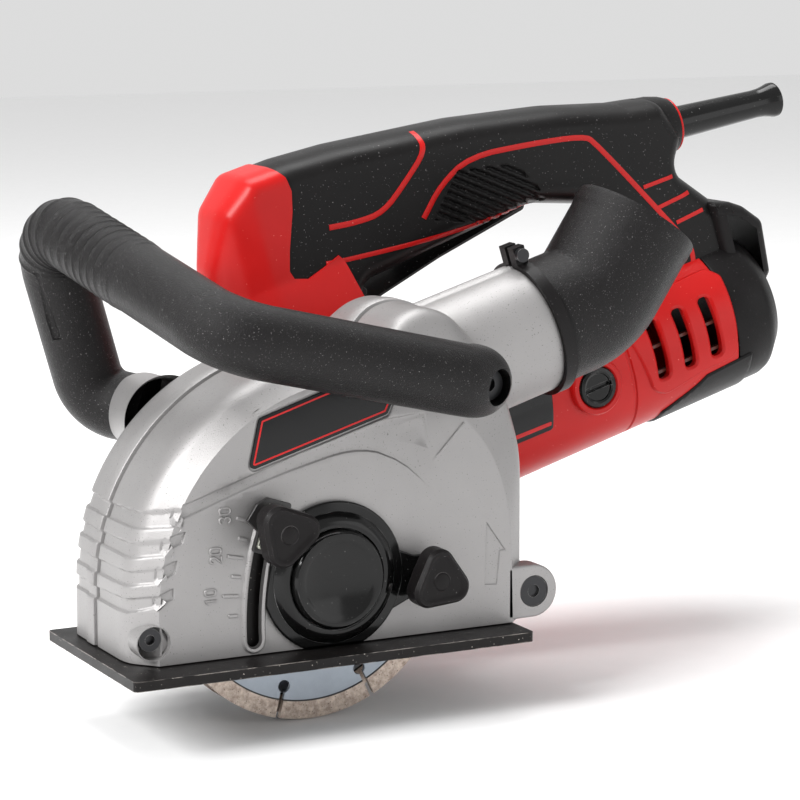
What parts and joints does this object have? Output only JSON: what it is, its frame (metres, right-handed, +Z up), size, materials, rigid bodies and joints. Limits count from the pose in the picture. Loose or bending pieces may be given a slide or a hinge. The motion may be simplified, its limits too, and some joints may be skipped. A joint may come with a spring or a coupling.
{
  "type": "wall chaser",
  "caption": "Twin-disc wall chaser with a cast guard on a swinging base plate, a bow front handle, a D-shaped rear handle, a motor unit and a swivelling dust elbow.",
  "frame": {"origin": "centre of the outer cutting disc on the spindle axis", "axes": "+X to the rear, away from the cutting direction; +Y along the spindle to the motor side; +Z up from the base plate"},
  "size_m": [0.3789, 0.1918, 0.2439],
  "materials": {
    "cast_shell": "painted cast alloy, fine grain",
    "fastener_steel": "black oxide",
    "plate_black": "black coated steel",
    "pointer_black": "satin black",
    "zinc_plate": "zinc plated",
    "knob_black": "matt",
    "gloss_black": "gloss",
    "machined_steel": "turned",
    "disc_steel": "ground core, sandy segments",
    "gear_steel": "hardened",
    "bearing_steel": "polished",
    "case_alloy": "cast",
    "spring_steel": "wire",
    "lamination_steel": "laminated",
    "copper_winding": "enamelled copper",
    "fan_plastic": "glass filled",
    "red_plastic": "satin red",
    "black_plastic": "fine textured",
    "brush_brass": "drawn",
    "brush_carbon": "carbon",
    "rubber_black": "rubber"
  },
  "bodies": {
    "tool_body": {"guard_near_half": "cast_shell", "guard_far_half": "cast_shell", "guard_screw": "fastener_steel", "pivot_screws": "fastener_steel", "hub_cover": "pointer_black", "hub_cap": "gloss_black", "gear_case": "case_alloy", "gear_case_cover": "case_alloy", "gear_case_screws": "fastener_steel", "spindle_front_bearing": "bearing_steel", "spindle_rear_bearing": "bearing_steel", "spindle_lock_spring": "spring_steel", "armature_front_bearing": "bearing_steel", "armature_rear_bearing": "bearing_steel", "rear_bearing_sleeve": "rubber_black", "stator_core": "lamination_steel", "field_windings": "copper_winding", "brush_holders": "brush_brass", "carbon_brushes": "brush_carbon", "brush_springs": "spring_steel", "brush_caps": "gloss_black", "motor_housing": "red_plastic", "motor_rear_cap": "black_plastic", "nose_cover": "red_plastic", "grip_near_half": "black_plastic", "grip_far_half": "black_plastic", "grip_screws": "fastener_steel", "trigger_pin": "fastener_steel", "trigger_spring": "spring_steel", "switch_module": "fan_plastic", "cord_clamp": "fan_plastic", "cable_sleeve": "rubber_black", "elbow_clamp_ring": "black_plastic", "clamp_ring_screw": "fastener_steel", "front_handle": "black_plastic", "handle_bolts": "fastener_steel"},
    "depth_frame": {"base_plate": "plate_black", "near_cheek": "plate_black", "far_cheek": "plate_black", "depth_stud": "fastener_steel", "depth_pointer": "pointer_black", "depth_clamp_plate": "zinc_plate"},
    "depth_knob": {"depth_knob": "knob_black"},
    "cover_knob": {"cover_knob": "knob_black"},
    "spindle": {"spindle_shaft": "machined_steel", "inner_flange": "machined_steel", "outer_disc": "disc_steel", "inner_disc": "disc_steel", "disc_spacers": "machined_steel", "clamp_nut": "machined_steel", "crown_gear": "gear_steel"},
    "armature": {"armature_shaft": "machined_steel", "pinion": "gear_steel", "armature_core": "lamination_steel", "armature_windings": "copper_winding", "commutator": "copper_winding", "cooling_fan": "fan_plastic"},
    "lock_button": {"spindle_lock_button": "fan_plastic"},
    "trigger": {"trigger": "black_plastic"},
    "dust_elbow": {"dust_elbow": "black_plastic"}
  },
  "joints": [
    {"name": "depth_swing", "type": "hinge", "parent": "tool_body", "child": "depth_frame", "pos_m": [0.0925, 0, -0.016], "axis": [0, -1, 0], "range_deg": [0, 19.5]},
    {"name": "depth_knob_turn", "type": "hinge", "parent": "depth_frame", "child": "depth_knob", "pos_m": [-0.02781, 0, 0.02309], "axis": [0, 1, 0], "range_deg": [-180, 180]},
    {"name": "cover_knob_turn", "type": "hinge", "parent": "tool_body", "child": "cover_knob", "pos_m": [0.041, 0, -0.0033], "axis": [0, 1, 0], "range_deg": [-180, 180]},
    {"name": "spindle_spin", "type": "hinge", "parent": "tool_body", "child": "spindle", "pos_m": [0, 0, 0], "axis": [0, 1, 0], "continuous": true},
    {"name": "armature_spin", "type": "hinge", "parent": "tool_body", "child": "armature", "pos_m": [0, 0.097, 0], "axis": [0.9563, 0, 0.2924], "continuous": true},
    {"name": "spindle_lock_press", "type": "slide", "parent": "tool_body", "child": "lock_button", "axis": [0.2924, 0, -0.9563], "range_m": [0, 0.0025], "stiffness_N_per_m": 800, "springref_m": -0.002, "deforming": ["spindle_lock_spring"]},
    {"name": "trigger_pull", "type": "hinge", "parent": "tool_body", "child": "trigger", "pos_m": [0.06675, 0.097, 0.09737], "axis": [0, -1, 0], "range_deg": [0, 5], "stiffness_Nm_per_rad": 1.5, "springref_deg": -6.88, "deforming": ["trigger_spring"]},
    {"name": "dust_elbow_swivel", "type": "hinge", "parent": "tool_body", "child": "dust_elbow", "pos_m": [0.10492, 0.02, 0.08436], "axis": [0.9563, 0, 0.2924], "range_deg": [-20, 90]}
  ],
  "couplings": [
    {"joint": "armature_spin", "follows": "spindle_spin", "ratio": 3}
  ]
}
